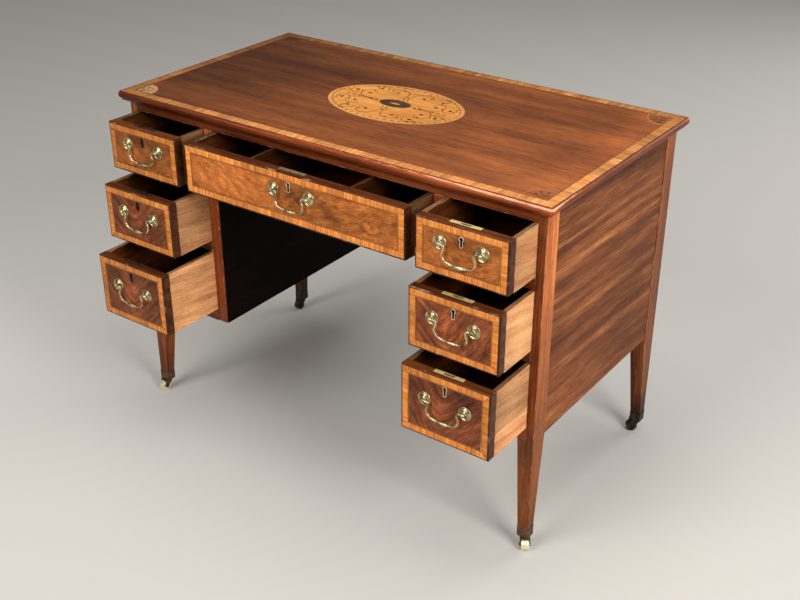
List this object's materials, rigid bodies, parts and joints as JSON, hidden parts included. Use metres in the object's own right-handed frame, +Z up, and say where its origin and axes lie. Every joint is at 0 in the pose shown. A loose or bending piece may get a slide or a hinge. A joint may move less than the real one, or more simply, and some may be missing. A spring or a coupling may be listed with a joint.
{
  "type": "kneehole writing desk",
  "caption": "Kneehole writing desk with inlaid top, banked drawers on swan-neck handles and locks, tapered legs and castors.",
  "frame": {"origin": "on the floor under the middle of the table top", "axes": "+X to the sitter's right along the desk's width, +Y to the back, +Z up; drawers open towards -Y"},
  "size_m": [1.08, 0.7195, 0.765],
  "materials": {
    "mahogany_top": "satin",
    "mahogany": "satin",
    "mahogany_flame": "satin",
    "satinwood": "satin",
    "marquetry": "satin",
    "drawer_lining": "matte",
    "brass": "polished",
    "aged_brass": "satin"
  },
  "bodies": {
    "desk": {"desk_top": "mahogany_top", "top_edge_moulding": "mahogany_top", "top_crossbanding": "satinwood", "top_marquetry": "marquetry", "leg_front_left": "mahogany", "leg_front_right": "mahogany", "leg_rear_left": "mahogany", "leg_rear_right": "mahogany", "castor_cups": "aged_brass", "front_rails": "mahogany", "kneehole_posts": "mahogany", "end_panels": "mahogany", "kneehole_panels": "mahogany", "pedestal_bottoms": "drawer_lining", "back_panels": "mahogany", "drawer_runners": "drawer_lining", "drawer_stops": "drawer_lining"},
    "drawer_left_top": {"drawer_left_top_front": "mahogany_flame", "drawer_left_top_box": "drawer_lining", "drawer_left_top_fittings": "brass"},
    "drawer_left_top_bail": {"drawer_left_top_bail": "brass"},
    "drawer_left_top_bolt": {"drawer_left_top_bolt": "aged_brass"},
    "drawer_left_middle": {"drawer_left_middle_front": "mahogany_flame", "drawer_left_middle_box": "drawer_lining", "drawer_left_middle_fittings": "brass"},
    "drawer_left_middle_bail": {"drawer_left_middle_bail": "brass"},
    "drawer_left_middle_bolt": {"drawer_left_middle_bolt": "aged_brass"},
    "drawer_left_bottom": {"drawer_left_bottom_front": "mahogany_flame", "drawer_left_bottom_box": "drawer_lining", "drawer_left_bottom_fittings": "brass"},
    "drawer_left_bottom_bail": {"drawer_left_bottom_bail": "brass"},
    "drawer_left_bottom_bolt": {"drawer_left_bottom_bolt": "aged_brass"},
    "drawer_right_top": {"drawer_right_top_front": "mahogany_flame", "drawer_right_top_box": "drawer_lining", "drawer_right_top_fittings": "brass"},
    "drawer_right_top_bail": {"drawer_right_top_bail": "brass"},
    "drawer_right_top_bolt": {"drawer_right_top_bolt": "aged_brass"},
    "drawer_right_middle": {"drawer_right_middle_front": "mahogany_flame", "drawer_right_middle_box": "drawer_lining", "drawer_right_middle_fittings": "brass"},
    "drawer_right_middle_bail": {"drawer_right_middle_bail": "brass"},
    "drawer_right_middle_bolt": {"drawer_right_middle_bolt": "aged_brass"},
    "drawer_right_bottom": {"drawer_right_bottom_front": "mahogany_flame", "drawer_right_bottom_box": "drawer_lining", "drawer_right_bottom_fittings": "brass"},
    "drawer_right_bottom_bail": {"drawer_right_bottom_bail": "brass"},
    "drawer_right_bottom_bolt": {"drawer_right_bottom_bolt": "aged_brass"},
    "drawer_centre": {"drawer_centre_front": "mahogany_flame", "drawer_centre_box": "drawer_lining", "drawer_centre_fittings": "brass"},
    "drawer_centre_bail": {"drawer_centre_bail": "brass"},
    "drawer_centre_bolt": {"drawer_centre_bolt": "aged_brass"},
    "castor_front_left": {"castor_front_left_horn": "aged_brass"},
    "castor_front_left_wheel": {"castor_front_left_wheel": "brass"},
    "castor_front_right": {"castor_front_right_horn": "aged_brass"},
    "castor_front_right_wheel": {"castor_front_right_wheel": "brass"},
    "castor_rear_left": {"castor_rear_left_horn": "aged_brass"},
    "castor_rear_left_wheel": {"castor_rear_left_wheel": "brass"},
    "castor_rear_right": {"castor_rear_right_horn": "aged_brass"},
    "castor_rear_right_wheel": {"castor_rear_right_wheel": "brass"}
  },
  "joints": [
    {"name": "drawer_left_top_slide", "type": "slide", "parent": "desk", "child": "drawer_left_top", "axis": [0, -1, 0], "range_m": [-0.082, 0.278]},
    {"name": "drawer_left_top_bail_swing", "type": "hinge", "parent": "drawer_left_top", "child": "drawer_left_top_bail", "pos_m": [-0.404, -0.357, 0.683], "axis": [-1, 0, 0], "range_deg": [-5, 100]},
    {"name": "drawer_left_top_bolt_throw", "type": "slide", "parent": "drawer_left_top", "child": "drawer_left_top_bolt", "axis": [0, 0, 1], "range_m": [0, 0.006]},
    {"name": "drawer_left_middle_slide", "type": "slide", "parent": "desk", "child": "drawer_left_middle", "axis": [0, -1, 0], "range_m": [-0.114, 0.246]},
    {"name": "drawer_left_middle_bail_swing", "type": "hinge", "parent": "drawer_left_middle", "child": "drawer_left_middle_bail", "pos_m": [-0.404, -0.389, 0.5395], "axis": [-1, 0, 0], "range_deg": [-5, 100]},
    {"name": "drawer_left_middle_bolt_throw", "type": "slide", "parent": "drawer_left_middle", "child": "drawer_left_middle_bolt", "axis": [0, 0, 1], "range_m": [0, 0.006]},
    {"name": "drawer_left_bottom_slide", "type": "slide", "parent": "desk", "child": "drawer_left_bottom", "axis": [0, -1, 0], "range_m": [-0.154, 0.206]},
    {"name": "drawer_left_bottom_bail_swing", "type": "hinge", "parent": "drawer_left_bottom", "child": "drawer_left_bottom_bail", "pos_m": [-0.404, -0.429, 0.377], "axis": [-1, 0, 0], "range_deg": [-5, 100]},
    {"name": "drawer_left_bottom_bolt_throw", "type": "slide", "parent": "drawer_left_bottom", "child": "drawer_left_bottom_bolt", "axis": [0, 0, 1], "range_m": [0, 0.006]},
    {"name": "drawer_right_top_slide", "type": "slide", "parent": "desk", "child": "drawer_right_top", "axis": [0, -1, 0], "range_m": [-0.094, 0.266]},
    {"name": "drawer_right_top_bail_swing", "type": "hinge", "parent": "drawer_right_top", "child": "drawer_right_top_bail", "pos_m": [0.404, -0.369, 0.683], "axis": [-1, 0, 0], "range_deg": [-5, 100]},
    {"name": "drawer_right_top_bolt_throw", "type": "slide", "parent": "drawer_right_top", "child": "drawer_right_top_bolt", "axis": [0, 0, 1], "range_m": [0, 0.006]},
    {"name": "drawer_right_middle_slide", "type": "slide", "parent": "desk", "child": "drawer_right_middle", "axis": [0, -1, 0], "range_m": [-0.114, 0.246]},
    {"name": "drawer_right_middle_bail_swing", "type": "hinge", "parent": "drawer_right_middle", "child": "drawer_right_middle_bail", "pos_m": [0.404, -0.389, 0.5395], "axis": [-1, 0, 0], "range_deg": [-5, 100]},
    {"name": "drawer_right_middle_bolt_throw", "type": "slide", "parent": "drawer_right_middle", "child": "drawer_right_middle_bolt", "axis": [0, 0, 1], "range_m": [0, 0.006]},
    {"name": "drawer_right_bottom_slide", "type": "slide", "parent": "desk", "child": "drawer_right_bottom", "axis": [0, -1, 0], "range_m": [-0.136, 0.224]},
    {"name": "drawer_right_bottom_bail_swing", "type": "hinge", "parent": "drawer_right_bottom", "child": "drawer_right_bottom_bail", "pos_m": [0.404, -0.411, 0.377], "axis": [-1, 0, 0], "range_deg": [-5, 100]},
    {"name": "drawer_right_bottom_bolt_throw", "type": "slide", "parent": "drawer_right_bottom", "child": "drawer_right_bottom_bolt", "axis": [0, 0, 1], "range_m": [0, 0.006]},
    {"name": "drawer_centre_slide", "type": "slide", "parent": "desk", "child": "drawer_centre", "axis": [0, -1, 0], "range_m": [-0.084, 0.276]},
    {"name": "drawer_centre_bail_swing", "type": "hinge", "parent": "drawer_centre", "child": "drawer_centre_bail", "pos_m": [0.006, -0.359, 0.683], "axis": [-1, 0, 0], "range_deg": [-5, 100]},
    {"name": "drawer_centre_bolt_throw", "type": "slide", "parent": "drawer_centre", "child": "drawer_centre_bolt", "axis": [0, 0, 1], "range_m": [0, 0.006]},
    {"name": "castor_front_left_swivel", "type": "hinge", "parent": "desk", "child": "castor_front_left", "pos_m": [-0.509, -0.256, 0.0265], "axis": [0, 0, 1], "continuous": true},
    {"name": "castor_front_left_roll", "type": "hinge", "parent": "castor_front_left", "child": "castor_front_left_wheel", "pos_m": [-0.51091, -0.26683, 0.012], "axis": [0.9848, -0.1736, 0], "continuous": true},
    {"name": "castor_front_right_swivel", "type": "hinge", "parent": "desk", "child": "castor_front_right", "pos_m": [0.509, -0.256, 0.0265], "axis": [0, 0, 1], "continuous": true},
    {"name": "castor_front_right_roll", "type": "hinge", "parent": "castor_front_right", "child": "castor_front_right_wheel", "pos_m": [0.51531, -0.26501, 0.012], "axis": [0.8192, 0.5736, 0], "continuous": true},
    {"name": "castor_rear_left_swivel", "type": "hinge", "parent": "desk", "child": "castor_rear_left", "pos_m": [-0.509, 0.256, 0.0265], "axis": [0, 0, 1], "continuous": true},
    {"name": "castor_rear_left_roll", "type": "hinge", "parent": "castor_rear_left", "child": "castor_rear_left_wheel", "pos_m": [-0.50996, 0.24504, 0.012], "axis": [0.9962, -0.0872, 0], "continuous": true},
    {"name": "castor_rear_right_swivel", "type": "hinge", "parent": "desk", "child": "castor_rear_right", "pos_m": [0.509, 0.256, 0.0265], "axis": [0, 0, 1], "continuous": true},
    {"name": "castor_rear_right_roll", "type": "hinge", "parent": "castor_rear_right", "child": "castor_rear_right_wheel", "pos_m": [0.50057, 0.24893, 0.012], "axis": [0.6428, -0.766, 0], "continuous": true}
  ]
}
